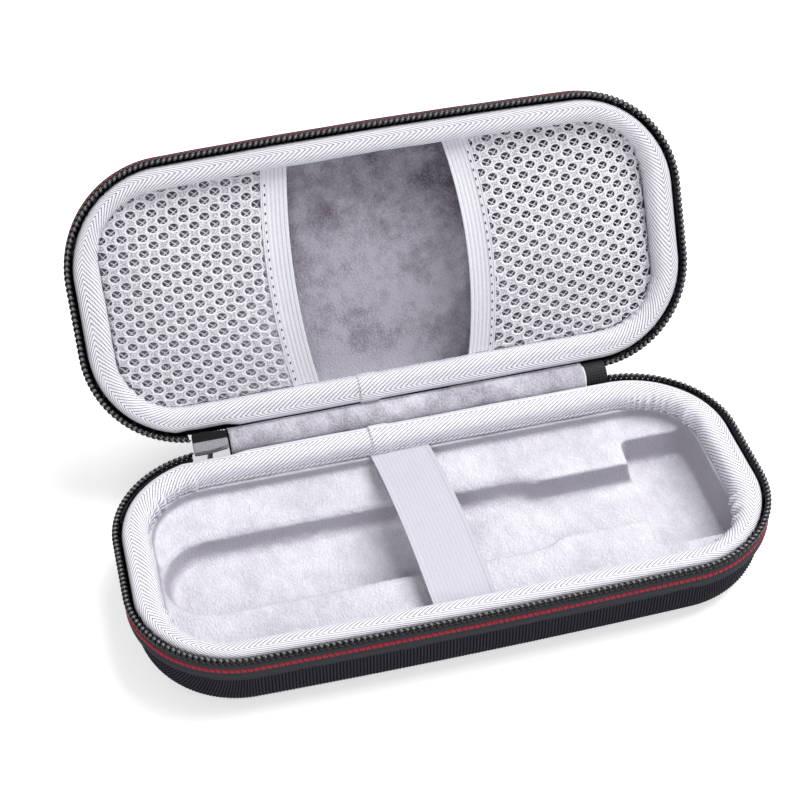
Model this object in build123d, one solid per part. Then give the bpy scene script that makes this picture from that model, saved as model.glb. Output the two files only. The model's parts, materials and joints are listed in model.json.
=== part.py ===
from build123d import *
import os

# Zip-around hard case for an electric shaver, standing open on its base. Millimetres.
# Origin: middle of the base's underside. +X along the case, +Y to the hinge, +Z up.

# ---- driving dimensions -------------------------------------------------------------
half_length = 117.0         # middle of the case to the zip line at either end
half_width = 52.0           # middle of the case to the zip line at the hinge side
front_crown = 2.4           # how far the front bows out beyond half_width
corner_radius = 38.4        # plan corners of the zip line
base_height = 30.0          # underside to the parting plane
lid_depth = 27.0            # parting plane to the lid's outer face
rim_gap = 0.3               # between the two rims when the case is shut
lid_open_angle = 116.5      # from shut to where the lid stands open
hinge_setback = 2.6         # hinge axis behind the zip line

wall = 4.0                  # pressed EVA board with its cloth
base_floor = 4.5            # underside to the inside of the base shell
lining_thickness = 1.5
draft = 2.2                 # how far a wall leans in from rim to floor
bottom_radius = 12.0        # outer edge between wall and floor
shelf_drop = 4.9            # rim down to the step that the zip stands on
shell_inset = 0.6           # zip line in to the shell below that step
neck_inset = 3.8            # zip line in to the shell above it

opening_end = 104.5         # middle to the binding's inner face at either end
opening_back = 39.8         # the same at the hinge side
opening_front = 40.6        # and at the front, before the crown
opening_radius = 22.0       # plan corners of the opening
binding_inset = 2.9         # zip line in to the binding's outer face
binding_tape = 0.9          # thickness of the binding tape
binding_roll = 4.2          # rounding of the binding's inner edge
binding_drop = 6.0          # rim down to the binding's inner hem
pad_drop = 8.0              # rim down to the underside of the foam rim pad

tape_thickness = 0.9
tape_top_drop = 2.95        # rim down to where the coil sits on its tape
tape_bottom_drop = 9.2      # rim down to the tape's lower edge
coil_radius = 1.45
stitch_drop = 4.4           # rim down to the stitch line on the tape
stitch_height = 1.9
stitch_proud = 0.35
zip_left_end = -84.0        # where coil and tape stop at the back, left
zip_right_end = 80.0        # and right

platform_drop = 12.1        # rim down to the tray's flat top
curb_set_in = 0.6           # opening in to the step round the tray's flat top
nest_left = -103.0          # trough for the shaver's handle
nest_right = 48.0
nest_half_width = 18.5
nest_floor = 8.0
nest_draft = 2.5
nest_edge = 1.5             # how far its top edge is rounded over
neck_half_width = 15.0      # narrower way from the trough to the head pocket
neck_draft = 1.0
head_left_front = 73.0      # pocket for the shaver's head, its left side slanted
head_left_back = 77.5
head_front = -29.0
head_back = 27.5
head_corner = 3.0
head_floor = 6.0
head_draft = 1.8

strap_x = -4.5              # middle of the holding strap
strap_width = 23.0
strap_skew = 2.7            # degrees off square
strap_rise = 4.6
elastic_thickness = 1.4
band_width = 10.0           # elastic edge of each lid pocket
left_band_x = -30.5         # free edge of the left pocket
right_band_x = 29.0         # free edge of the right pocket
pocket_rise = 4.2

hinge_left = -67.8          # hinge cloth, left and right
hinge_right = 71.2
roll_radius = 1.9           # fold of the hinge cloth
roll_clearance = 0.35       # fold to the lid's half of the cloth

slider_x = -75.9            # middle of the parked slider
slider_length = 13.0
slider_gap = 1.9            # zip line to the inside of each plate
outer_plate = 1.0
inner_plate = 0.8
nose_half_height = 3.7
tail_half_height = 2.9
lip_height = 0.8
wedge_length = 4.6
slider_sweep = 6.75         # radius about the hinge axis that the slider needs clear
bridge_half_length = 4.6
bridge_rise = 3.5
bridge_width = 1.5
bridge_wall = 0.9
puller_bar_radius = 0.8
puller_eye = 7.0            # bar to the grip
puller_length = 26.0
puller_width = 3.4           # slim, to pass between the backs when the lid lies flat
puller_thickness = 1.4
puller_arm = 0.8
grip_radius = 1.5
grip_slot_width = 1.3
grip_slot_length = 6.0

fit = 0.1                   # between pieces that lie against each other

rim = base_height - rim_gap / 2
lid_floor = base_height - lid_depth + wall
hinge_y = half_width + hinge_setback
hinge_axis = Axis((0, hinge_y, base_height), (1, 0, 0))


# ---- plans and heights --------------------------------------------------------------
def rounded_plan(end, back, front, radius, outset):
    """A plan with a straight back and ends, a crowned front and rounded corners."""
    edges = [
        Line((-end, back), (end, back)),
        Line((end, back), (end, -front)),
        ThreePointArc((end, -front), (0, -front - front_crown), (-end, -front)),
        Line((-end, -front), (-end, back)),
    ]
    face = make_face(edges)
    plan = fillet(face.vertices(), radius)
    return offset(plan, amount=outset) if outset else plan


def zip_plan(inset):
    """The zip line's plan, moved in by inset."""
    return rounded_plan(half_length, half_width, half_width, corner_radius, -inset)


def opening_plan(outset):
    """The plan of the binding's inner face, moved out by outset."""
    return rounded_plan(opening_end, opening_back, opening_front, opening_radius, outset)


def slab(plan, low, high):
    """A plan extruded between two heights."""
    return extrude(Pos(0, 0, low) * plan, high - low)


def ring(outer, inner, low, high):
    """The band between two plans."""
    return slab(outer, low, high) - slab(inner, low - 1, high + 1)


def edges_at(solid, height):
    """The edges that lie flat at a height."""
    return solid.edges().filter_by_position(Axis.Z, height - 0.01, height + 0.01)


def inner_top_edges(solid):
    """The inner edge of a ring's flat top."""
    return solid.faces().sort_by(Axis.Z)[-1].inner_wires()[0].edges()


def drum(radius, left, right):
    """A round about the hinge axis, between two distances along the case."""
    middle = (left + right) / 2
    return Pos(middle, hinge_y, base_height) * Cylinder(radius, right - left, rotation=(0, 90, 0))


def slider_room():
    """The drum that the parked slider sweeps as the lid turns."""
    reach = slider_length / 2 + 0.8
    return drum(slider_sweep, slider_x - reach, slider_x + reach)


def back_gap():
    """The space at the back wall between the two ends of the zip."""
    middle = (zip_left_end + zip_right_end) / 2
    room = Box(zip_right_end - zip_left_end, 4 * wall, 2 * base_height)
    return Pos(middle, half_width, base_height) * room


def as_lid(piece):
    """A piece of a half case with its rim up becomes the lid's, standing open."""
    shut = mirror(piece, about=Plane.XY.offset(base_height))
    return shut.rotate(hinge_axis, -lid_open_angle)


def half_open(piece):
    """A piece of the slider turns to where it stands, halfway between base and lid."""
    return piece.rotate(hinge_axis, -lid_open_angle / 2)


# ---- pieces that both halves have, drawn with the rim up ------------------------------
def cavity(floor, clearance):
    """The space inside a shell: drafted sides and a large radius to the floor."""
    low = floor + clearance
    lean = draft * (rim - low) / (rim - floor)
    inset = shell_inset + wall + clearance
    sides = loft([Pos(0, 0, low) * zip_plan(inset + lean), Pos(0, 0, rim) * zip_plan(inset)])
    return fillet(edges_at(sides, low), bottom_radius - wall - clearance)


def half_shell(bottom, floor):
    """Pressed EVA shell: drafted walls, a large radius to the floor, a stepped rim."""
    shelf = rim - shelf_drop
    outer = loft([Pos(0, 0, bottom) * zip_plan(shell_inset + draft),
                  Pos(0, 0, shelf) * zip_plan(shell_inset)])
    outer = fillet(edges_at(outer, bottom), bottom_radius)
    outer += slab(zip_plan(neck_inset), shelf - 1, rim - binding_tape - fit)
    return outer - cavity(floor, 0) - slider_room()


def rim_pad(floor):
    """Foam pad behind the binding that makes the wide soft rim."""
    layer = slab(zip_plan(0), rim - pad_drop, rim - binding_tape - fit)
    pad = (cavity(floor, fit) & layer) - slab(opening_plan(binding_tape + fit), 0, base_height)
    return fillet(inner_top_edges(pad), binding_roll - binding_tape) - slider_room()


def rim_block(inset, outset, drop, roll):
    """Solid ring of the rim with its inner top edge rolled over."""
    block = ring(zip_plan(inset), opening_plan(outset), rim - binding_drop, rim - drop)
    return fillet(inner_top_edges(block), roll)


def binding():
    """Herringbone tape folded over the rim: outer skirt, flat top and inner hem."""
    tape = rim_block(binding_inset, 0, 0, binding_roll)
    tape -= rim_block(binding_inset + binding_tape, binding_tape, binding_tape,
                      binding_roll - binding_tape)
    below_skirt = ring(zip_plan(0), zip_plan(binding_inset + 2 * binding_tape),
                       rim - binding_drop - 1, rim - shelf_drop + fit)
    return tape - below_skirt - slider_room()


def zip_tape():
    """Woven tape round the outside of the wall, under the coil."""
    tape = ring(zip_plan(-tape_thickness / 2), zip_plan(tape_thickness / 2),
                rim - tape_bottom_drop, rim - tape_top_drop)
    return tape - back_gap()


def zip_coil():
    """One strand of the coil, a bead along the zip line with a gap at the hinge."""
    line = zip_plan(0).face().outer_wire().moved(Location((0, 0, rim - coil_radius)))
    start = Plane(origin=line @ 0, z_dir=line % 0)
    return sweep(start * Circle(coil_radius), path=line) - back_gap()


def stitch_line():
    """Raised line of thick thread along the tape."""
    face = -tape_thickness / 2
    line = ring(zip_plan(face - stitch_proud), zip_plan(face),
                rim - stitch_drop - stitch_height, rim - stitch_drop)
    return line - back_gap()


def arch_section(x, rise):
    """Section of an elastic or a net that spans the opening from back to front."""
    back = opening_back + binding_tape
    front = opening_front + front_crown + binding_tape
    low = rim - pad_drop + fit
    lower = ThreePointArc((x, back, low), (x, (back - front) / 2, low + rise), (x, -front, low))
    upper = lower.moved(Location((0, 0, elastic_thickness)))
    return make_face([lower, upper, Line(lower @ 0, upper @ 0), Line(lower @ 1, upper @ 1)])


def within_opening(piece):
    """The part of a piece that lies inside the rim pad."""
    return piece & slab(opening_plan(binding_tape), 0, rim)


# ---- base ---------------------------------------------------------------------------
def base_tray():
    """Moulded insert: curb under the rim pad, flat platforms and a nest for the shaver."""
    platform = rim - platform_drop
    tray = cavity(base_floor, fit) & slab(zip_plan(0), 0, rim - pad_drop - fit)
    tray -= slab(opening_plan(-curb_set_in), platform, rim)
    return tray - nest(platform)


def hollow(plan, floor, top, narrowing, rounding):
    """A space that narrows downwards, with a rounded foot."""
    space = loft([Pos(0, 0, floor) * offset(plan, amount=-narrowing), Pos(0, 0, top) * plan])
    return fillet(edges_at(space, floor), rounding)


def nest(platform):
    """The shaver's hollow: a round-ended trough, a neck and a wider pocket for the head."""
    middle = (nest_left + nest_right) / 2
    trough_plan = Pos(middle, 0) * SlotOverall(nest_right - nest_left, 2 * nest_half_width)
    trough = hollow(trough_plan, nest_floor, platform, nest_draft, 2 * nest_draft)
    mouth = loft([Pos(0, 0, platform - nest_edge) * trough_plan,
                  Pos(0, 0, platform) * offset(trough_plan, amount=nest_edge)])
    neck_end = (head_left_back + opening_end) / 2
    neck_plan = Pos(neck_end / 2, 0) * Rectangle(neck_end, 2 * neck_half_width)
    neck = hollow(neck_plan, nest_floor, platform, neck_draft, 2 * neck_draft)
    return trough + mouth + neck + head_pocket(platform)


def head_pocket(platform):
    """Its left side slants, and on the right it runs out to the curb."""
    outline = Polyline((head_left_back, head_back), (half_length, head_back),
                       (half_length, head_front), (head_left_front, head_front), close=True)
    plan = make_face(outline) & opening_plan(-curb_set_in)
    plan = fillet(plan.vertices().sort_by(Axis.X)[:2], head_corner)
    return hollow(plan, head_floor, platform, head_draft, head_corner)


def base_strap():
    """Woven elastic strap that holds the shaver in its nest."""
    strap = extrude(arch_section(-strap_width / 2, strap_rise), strap_width, dir=(1, 0, 0))
    return within_opening(Pos(strap_x, 0, 0) * Rot(0, 0, strap_skew) * strap)


# ---- lid ----------------------------------------------------------------------------
def lid_lining():
    """Plush lining pressed into the lid."""
    lining = cavity(lid_floor, fit) - cavity(lid_floor, fit + lining_thickness)
    return lining & slab(zip_plan(0), 0, rim - pad_drop - fit)


def pocket_elastic(free_edge, outward):
    """Elastic that edges a lid pocket and holds it shut."""
    low = min(free_edge, free_edge + outward * band_width)
    return within_opening(extrude(arch_section(low, pocket_rise), band_width, dir=(1, 0, 0)))


def pocket_net(free_edge, outward):
    """Bulged net panel of a lid pocket, from its elastic to the end of the case."""
    start = free_edge + outward * band_width
    end = outward * (opening_end + binding_tape)
    panel = loft([arch_section(start, pocket_rise), arch_section((start + end) / 2, pocket_rise),
                  arch_section(end, 0.3)])
    return within_opening(panel)


# ---- hinge --------------------------------------------------------------------------
def hinge_band(left, right):
    """Cloth on the outside of the back wall, which rises to the hinge line."""
    low = rim - tape_bottom_drop
    high = rim - tape_top_drop
    inner = half_width - tape_thickness / 2
    outer = half_width + tape_thickness / 2
    profile = Polyline((inner, low), (outer, low), (outer, high - 0.5),
                       (hinge_y + tape_thickness / 2, base_height - 0.8),
                       (hinge_y - tape_thickness / 2, base_height - 0.3), (inner, high),
                       close=True)
    return Pos(left, 0, 0) * extrude(Plane.YZ * make_face(profile), right - left)


def base_hinge_cloth(left, right):
    """The base's half of the hinge cloth, with the fold that the lid turns about."""
    return hinge_band(left, right) + drum(roll_radius, left, right)


def lid_hinge_cloth(left, right):
    """The lid's half of the hinge cloth, which stops just short of the fold."""
    return hinge_band(left, right) - drum(roll_radius + roll_clearance, left - 1, right + 1)


def hinge_lining():
    """Plush strip over the inside of the hinge, one half of it."""
    length = hinge_right - hinge_left - 0.6
    near = half_width - binding_inset
    far = half_width - tape_thickness / 2
    strip = Box(length, far - near - fit, 1.0)
    return Pos((hinge_left + hinge_right) / 2, (near + far) / 2, rim - 2.2) * strip


# ---- slider and puller, drawn with the lid shut ---------------------------------------
def slider_plan(inset):
    """Side view of the slider: wide at its nose, narrow at its tail."""
    nose = slider_x - slider_length / 2
    tail = slider_x + slider_length / 2
    taper = nose + 0.42 * slider_length
    wide = nose_half_height - inset
    narrow = tail_half_height - inset
    corners = [(nose, -wide), (taper, -wide), (tail, -narrow),
               (tail, narrow), (taper, wide), (nose, wide)]
    return make_face(Polyline(*corners, close=True))


def slider_layer(plan, near, far):
    """A side view made solid between two distances from the middle of the case."""
    return Pos(0, near, base_height) * extrude(Plane.XZ * plan, near - far)


def zip_slider():
    """Cast slider: two plates, their turned-in lips, the wedge between the strands."""
    outside = half_width + slider_gap
    inside = half_width - slider_gap
    corners = fillet(slider_plan(0).vertices(), 0.9)
    body = slider_layer(corners, outside, outside + outer_plate)
    body += slider_layer(corners, inside - inner_plate, inside)
    lips = slider_plan(0) - Pos(-1, 0) * scale(slider_plan(lip_height), (1.4, 1, 1))
    body += slider_layer(lips, outside - lip_height, outside)
    body += slider_layer(lips, inside, inside + lip_height)
    nose = slider_x - slider_length / 2
    wedge = make_face(Polyline((nose, 0.9), (nose + wedge_length, 0.25),
                               (nose + wedge_length, -0.25), (nose, -0.9), close=True))
    return body + slider_layer(wedge, inside, outside) + slider_bridge()


def slider_bridge():
    """Arched loop on the outer plate that the puller's bar passes under."""
    foot = half_width + slider_gap + outer_plate
    half = bridge_half_length
    span = Polyline((slider_x - half, foot), (slider_x - half + bridge_wall, foot + bridge_rise),
                    (slider_x + half - bridge_wall, foot + bridge_rise),
                    (slider_x + half, foot), close=True)
    arch = extrude(make_face(span), bridge_width / 2, both=True)
    arch = fillet(arch.edges().filter_by(Axis.Z).group_by(Axis.Y)[-1], 1.2)
    window = Box(2 * (half - 2 * bridge_wall), 2 * (bridge_rise - bridge_wall), 2 * bridge_width)
    return Pos(0, 0, base_height) * (arch - Pos(slider_x, foot, 0) * window)


def zip_puller():
    """Stamped puller: a bar under the bridge, two arms and a slotted grip."""
    bar = Cylinder(puller_bar_radius, puller_width)
    grip = Box(puller_thickness, puller_length - puller_eye, puller_width)
    grip = Pos(0, (puller_eye + puller_length) / 2, 0) * grip
    grip = fillet(grip.edges().filter_by(Axis.X).group_by(Axis.Y)[-1], grip_radius)
    slot = extrude(SlotOverall(grip_slot_length, grip_slot_width, rotation=90),
                   puller_thickness, both=True)
    grip -= Pos(0, puller_length - grip_slot_length, 0) * Rot(0, 90, 0) * slot
    reach = (puller_width - puller_arm) / 2
    arm = Pos(0, puller_eye / 2, 0) * Box(puller_thickness, puller_eye + fit, puller_arm)
    puller = bar + grip + Pos(0, 0, reach) * arm + Pos(0, 0, -reach) * arm
    bar_y = half_width + slider_gap + outer_plate + 1.3
    return Pos(slider_x, bar_y, base_height) * puller


# ---- nodes --------------------------------------------------------------------------
def base_nodes():
    """Pieces of the base."""
    tab_left = hinge_right + rim_gap
    tab_right = zip_right_end - rim_gap
    return {
        "base_shell": half_shell(0, base_floor),
        "base_rim_pad": rim_pad(base_floor),
        "base_tray": base_tray(),
        "base_binding": binding(),
        "base_zip_tape": zip_tape(),
        "base_zip_coil": zip_coil(),
        "base_stitching": stitch_line(),
        "base_strap": base_strap(),
        "base_hinge_cloth": base_hinge_cloth(hinge_left, hinge_right),
        "base_hinge_lining": hinge_lining(),
        "base_zip_end_tab": base_hinge_cloth(tab_left, tab_right),
    }


def lid_nodes():
    """Pieces of the lid, in place on the open lid."""
    tab_left = hinge_right + rim_gap
    tab_right = zip_right_end - rim_gap
    pieces = {
        "lid_shell": half_shell(base_height - lid_depth, lid_floor),
        "lid_rim_pad": rim_pad(lid_floor),
        "lid_lining": lid_lining(),
        "lid_binding": binding(),
        "lid_zip_tape": zip_tape(),
        "lid_zip_coil": zip_coil(),
        "lid_stitching": stitch_line(),
        "left_pocket_net": pocket_net(left_band_x, -1),
        "right_pocket_net": pocket_net(right_band_x, 1),
        "left_pocket_elastic": pocket_elastic(left_band_x, -1),
        "right_pocket_elastic": pocket_elastic(right_band_x, 1),
        "lid_hinge_cloth": lid_hinge_cloth(hinge_left, hinge_right),
        "lid_hinge_lining": hinge_lining(),
        "lid_zip_end_tab": lid_hinge_cloth(tab_left, tab_right),
    }
    return {name: as_lid(piece) for name, piece in pieces.items()}


def slider_nodes():
    """The slider and its puller."""
    return {"zip_slider": half_open(zip_slider()), "zip_puller": half_open(zip_puller())}


os.makedirs("parts", exist_ok=True)
for name, piece in (base_nodes() | lid_nodes() | slider_nodes()).items():
    export_step(piece, "parts/" + name + ".step")
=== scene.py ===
import functools
import json
import math

import bpy
from mathutils import Matrix, Vector, noise


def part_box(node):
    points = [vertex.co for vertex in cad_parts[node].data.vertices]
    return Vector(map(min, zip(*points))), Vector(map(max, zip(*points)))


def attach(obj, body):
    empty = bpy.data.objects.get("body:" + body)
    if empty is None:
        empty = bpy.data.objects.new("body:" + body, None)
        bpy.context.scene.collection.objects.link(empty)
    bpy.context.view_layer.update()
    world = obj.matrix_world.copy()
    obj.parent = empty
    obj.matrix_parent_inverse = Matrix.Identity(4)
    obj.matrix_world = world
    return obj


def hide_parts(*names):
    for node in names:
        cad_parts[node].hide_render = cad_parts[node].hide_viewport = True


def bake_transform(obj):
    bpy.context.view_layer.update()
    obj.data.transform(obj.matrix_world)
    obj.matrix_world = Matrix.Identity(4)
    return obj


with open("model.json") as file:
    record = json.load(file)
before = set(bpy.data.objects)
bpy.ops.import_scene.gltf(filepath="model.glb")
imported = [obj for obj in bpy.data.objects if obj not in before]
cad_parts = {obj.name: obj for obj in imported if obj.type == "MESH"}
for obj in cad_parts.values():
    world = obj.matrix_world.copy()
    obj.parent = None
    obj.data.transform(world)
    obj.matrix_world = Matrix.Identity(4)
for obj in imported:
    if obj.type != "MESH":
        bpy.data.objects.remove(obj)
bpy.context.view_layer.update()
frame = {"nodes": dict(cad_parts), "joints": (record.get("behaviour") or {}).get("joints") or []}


# ---- Ribbed shells ---------------------------------------------------------------------
# Base and lid are EVA board laminated with corded cloth and pressed in a hot mould. The
# cords run straight across the flat cloth and fold up the walls with it, so each shell is
# cut flat here, folded up round its floor and then given its thickness.
coil_low, coil_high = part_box("base_zip_coil")
coil_radius = (coil_high.z - coil_low.z) / 2
rim = coil_high.z
half_length = coil_high.x - coil_radius     # of the line that the zip follows
half_width = 0.052
corner = 0.0384
front_bow = -coil_low.y - coil_radius - half_width
lid_hinge = frame["joints"][0]
hinge_line = Vector(lid_hinge["pos_m"])
lid_angle = math.radians(lid_hinge["range_deg"][0])
lid_turn = Matrix.Rotation(lid_angle, 4, "X")
shut_to_open = Matrix.Translation(hinge_line) @ lid_turn @ Matrix.Translation(-hinge_line)
upside_down = Matrix.Translation((0, 0, 2 * hinge_line.z)) @ Matrix.Scale(-1, 4, (0, 0, 1))

shelf = rim - 0.0049            # step that the zip tape stands on
shell_inset = 0.0006            # zip line in to the wall at the shelf
draft = 0.0022                  # how far the wall leans in from there to the floor
bottom_radius = 0.012
bow_from = 0.04                 # the front's bow fades out this far in front of the middle
lid_floor = 0.003               # the lid's outer face, drawn with its rim up
board = 0.0036                  # EVA with its cloth
cord_pitch = 0.00118
cord_profile = (0.0004, 0.00012, 0, 0.00012)     # drop below a cord's crest, in quarters of it
cord_thread = 0.0005            # pitch of the threads wound across a cord
row_pitch = 0.0032


def paint(red, green, blue):
    """A colour as it is mixed, in 0-255, for a shader."""
    return tuple(((c / 255 + 0.055) / 1.055) ** 2.4 for c in (red, green, blue)) + (1,)


def finish(name, colour, roughness, sheen=0.0, gloss=0.3):
    """A new material with its node tree and shader."""
    material = bpy.data.materials.new(name)
    material.use_nodes = True
    shader = material.node_tree.nodes["Principled BSDF"]
    for socket, value in (("Base Color", colour), ("Roughness", roughness),
                          ("Sheen Weight", sheen), ("Specular IOR Level", gloss)):
        shader.inputs[socket].default_value = value
    return material, material.node_tree, shader


def node(tree, kind, *inputs, **settings):
    """A shader node, fed with numbers, sockets or whole nodes."""
    made = tree.nodes.new("ShaderNode" + kind)
    for name, value in settings.items():
        setattr(made, name, value)
    for socket, value in zip(made.inputs, inputs):
        if isinstance(value, bpy.types.Node):
            value = value.outputs[0]
        if isinstance(value, bpy.types.NodeSocket):
            tree.links.new(value, socket)
        elif value is not None:
            socket.default_value = value
    return made


def calc(tree, operation, *values):
    """A sum, product or the like of numbers and sockets."""
    return node(tree, "Math", *values, operation=operation)


def along_and_across(tree):
    """Distance along and across the flat cloth, in metres."""
    split = node(tree, "SeparateXYZ", node(tree, "UVMap", uv_map="UVMap"))
    return split.outputs[0], split.outputs[1]


def waves(tree, distance, pitch):
    """Rises and falls once in every pitch, between 0 and 1."""
    turn = calc(tree, "MULTIPLY", distance, 2 * math.pi / pitch)
    return node(tree, "MapRange", calc(tree, "COSINE", turn), -1, 1, 0, 1)


def grain(tree, size, detail=2, where=None):
    """Noise whose lumps are about that size, in metres."""
    if where is None:
        where = node(tree, "TexCoord").outputs["Object"]
    return node(tree, "TexNoise", where, None, 1 / size, detail)


def relief(tree, shader, height, depth):
    """Raises the surface by a height between 0 and 1, times depth."""
    bump = node(tree, "Bump")
    bump.inputs["Distance"].default_value = depth
    tree.links.new(height.outputs[0], bump.inputs["Height"])
    tree.links.new(bump.outputs[0], shader.inputs["Normal"])


def tint(tree, shader, share, low, high):
    """Colours the surface from low to high by a share between 0 and 1."""
    mix = node(tree, "MixRGB", share, low, high)
    tree.links.new(mix.outputs[0], shader.inputs["Base Color"])


def flat_cloth(name, length, width, columns, rows):
    """A rectangle of cloth in squares, its UV map in metres, from a corner at the origin."""
    bpy.ops.object.select_all(action="DESELECT")
    bpy.ops.mesh.primitive_grid_add(x_subdivisions=columns, y_subdivisions=rows, size=1)
    cloth = bpy.context.object
    cloth.name = cloth.data.name = name
    bpy.ops.object.mode_set(mode="EDIT")
    bpy.ops.transform.resize(value=(length, width, 1))
    bpy.ops.transform.translate(value=(length / 2, width / 2, 0))
    bpy.ops.object.mode_set(mode="OBJECT")
    for loop, corner_uv in zip(cloth.data.loops, cloth.data.uv_layers.active.data):
        corner_uv.uv = cloth.data.vertices[loop.vertex_index].co.xy
    return cloth


def keep_faces(piece, kept):
    """Deletes every face that kept(face) doesn't ask for."""
    bpy.context.view_layer.objects.active = piece
    bpy.ops.object.mode_set(mode="EDIT")
    bpy.ops.mesh.select_mode(type="FACE")
    bpy.ops.mesh.select_all(action="DESELECT")
    bpy.ops.object.mode_set(mode="OBJECT")
    for face in piece.data.polygons:
        face.select = not kept(face)
    bpy.ops.object.mode_set(mode="EDIT")
    bpy.ops.mesh.delete(type="FACE")
    bpy.ops.mesh.select_mode(type="VERT")
    bpy.ops.object.mode_set(mode="OBJECT")


def reshape(piece, moved):
    """Puts every point of a piece where moved(point) says."""
    for vertex in piece.data.vertices:
        vertex.co = moved(vertex.co)
    piece.data.update()


def work(piece, kind, **settings):
    """Adds a modifier and applies it."""
    modifier = piece.modifiers.new(kind, kind)
    for name, value in settings.items():
        setattr(modifier, name, value)
    bpy.context.view_layer.objects.active = piece
    bpy.ops.object.modifier_apply(modifier=kind)


def thicken(piece, thickness):
    """Gives a sheet its thickness, in from its face."""
    work(piece, "SOLIDIFY", thickness=thickness, offset=-1)


def bowed(point):
    """The front wall isn't straight: it bows out a little."""
    share = (1 - (point.x / half_length) ** 2) * min(1, max(0, -point.y / bow_from))
    return Vector((point.x, point.y - front_bow * share, point.z))


def coat(piece, material):
    """One finish all over a piece."""
    piece.data.materials.clear()
    piece.data.materials.append(material)


def dress(piece, material, body, slot, *nodes):
    """Smooth shading, a finish, the body it moves with and the nodes it stands for."""
    piece.data.shade_smooth()
    coat(piece, material)
    if body:
        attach(piece, body)
    if nodes:
        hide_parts(*nodes)


def stand_open(piece):
    """Turns a piece drawn with its rim up over on to the open lid."""
    piece.data.transform(shut_to_open @ upside_down)
    piece.data.flip_normals()


def pressed_shell(name, floor):
    """One shell with its rim up."""
    turn = math.pi / 2 - math.atan(draft / (shelf - floor))
    foot = shell_inset + draft + bottom_radius * math.tan(turn / 2)
    half_x, half_y, radius = half_length - foot, half_width - foot, corner - foot
    bend = bottom_radius * turn
    wall = (shelf - floor - bottom_radius * (1 - math.cos(turn))) / math.sin(turn)
    reach = bend + wall
    long_side, short_side = 2 * (half_x + reach), 2 * (half_y + reach)
    cords = round(long_side / cord_pitch)
    columns = len(cord_profile) * cords
    shell = flat_cloth(name, long_side, short_side, columns, round(short_side / row_pitch))
    middle = Vector((long_side / 2, short_side / 2, 0))

    def past_floor(point):
        """How the flat cloth lies past the floor's outline: direction and distance."""
        side = point - middle
        arm = Vector((max(abs(side.x) - half_x + radius, 0), max(abs(side.y) - half_y + radius, 0)))
        return side, arm, arm.length - radius

    within = [past_floor(v.co)[2] <= reach for v in shell.data.vertices]
    keep_faces(shell, lambda face: any(within[i] for i in face.vertices))
    shell.data.flip_normals()
    step = long_side / columns
    drops = [cord_profile[round(v.co.x / step) % len(cord_profile)] for v in shell.data.vertices]

    def folded(point):
        """A flat point's place on the floor, round the bend or up the wall."""
        side, arm, beyond = past_floor(point)
        if beyond <= 0:
            return bowed(Vector((side.x, side.y, floor)))
        beyond = min(beyond, reach)
        angle = min(beyond / bottom_radius, turn)
        climb = max(0, beyond - bend)
        out = bottom_radius * math.sin(angle) + climb * math.cos(turn)
        up = bottom_radius * (1 - math.cos(angle)) + climb * math.sin(turn)
        away = arm.normalized() * (radius + out) - arm
        x = math.copysign(abs(side.x) + away.x, side.x)
        y = math.copysign(abs(side.y) + away.y, side.y)
        return bowed(Vector((x, y, floor + up)))

    reshape(shell, folded)
    inwards = [-drop * v.normal for v, drop in zip(shell.data.vertices, drops)]
    for vertex, move in zip(shell.data.vertices, inwards):
        vertex.co += move
    thicken(shell, board)
    return shell


def corded_cloth():
    """Charcoal cords, each with fine threads wound across it, darker in lines at the cord pitch as
    painted shade of the grooves.
    """
    material, tree, shader = finish("corded_cloth", paint(34, 33, 40), 0.8, gloss=0.12)
    along, across = along_and_across(tree)
    thread = waves(tree, across, cord_thread)
    crest = waves(tree, along, cord_pitch)
    wear_and_reflection = grain(tree, 0.0007)
    valley = calc(tree, "SUBTRACT", 1, crest)
    share = calc(tree, "MULTIPLY", valley, calc(tree, "ADD", 0.55, wear_and_reflection))
    # painted shade: near black in lines at the cord pitch, for the grooves between cords, with
    # random tone from the noise
    tint(tree, shader, share, paint(7, 7, 10), paint(56, 54, 64))
    relief(tree, shader, calc(tree, "ADD", thread, wear_and_reflection), 0.00008)
    return material


cloth_finish = corded_cloth()
base_cloth = pressed_shell("base_shell_cloth", 0)
dress(base_cloth, cloth_finish, "base", "shell_cloth", "base_shell")
lid_cloth = pressed_shell("lid_shell_cloth", lid_floor)
stand_open(lid_cloth)
dress(lid_cloth, cloth_finish, "lid", "shell_cloth", "lid_shell")


# ---- Zip tapes -------------------------------------------------------------------------
# A smooth woven tape stands round the outside of each shell's rim and carries the coil.
# It is a straight strip that is sewn on round the zip line, with its ends at the hinge.
# Places on the zip line are told by the distance along it, anticlockwise from the joint.
binding_joint = -0.0096         # x where the binding's ends meet, at the back
zip_left_end = -0.0834          # x of the zip's two ends
zip_right_end = 0.080
around = 4 * (half_length + half_width - 2 * corner) + 2 * math.pi * corner
zip_start = binding_joint - zip_left_end
zip_end = around + binding_joint - zip_right_end
tape_thickness = 0.0006


def heading(angle):
    """The unit vector at an angle."""
    return Vector((math.cos(angle), math.sin(angle)))


@functools.cache
def on_zip_line(station):
    """A place on the zip line, and the way in from it, by the distance along the line."""
    straight, across = half_length - corner, half_width - corner
    spot = Vector((binding_joint, half_width))
    angle = math.pi
    station %= around
    for run in (straight + binding_joint, 2 * across, 2 * straight, 2 * across,
                straight - binding_joint):
        step = min(station, run)
        spot += step * heading(angle)
        station -= step
        turn = min(station / corner, math.pi / 2)
        centre = spot + corner * heading(angle + math.pi / 2)
        angle += turn
        spot = centre - corner * heading(angle + math.pi / 2)
        station -= turn * corner
    return spot, heading(angle + math.pi / 2)


def round_case(point):
    """A point drawn at (along the line, in from it, height) goes to its place."""
    spot, way_in = on_zip_line(round(point.x, 6))
    spot = spot + point.y * way_in
    return bowed(Vector((spot.x, spot.y, point.z)))


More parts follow.
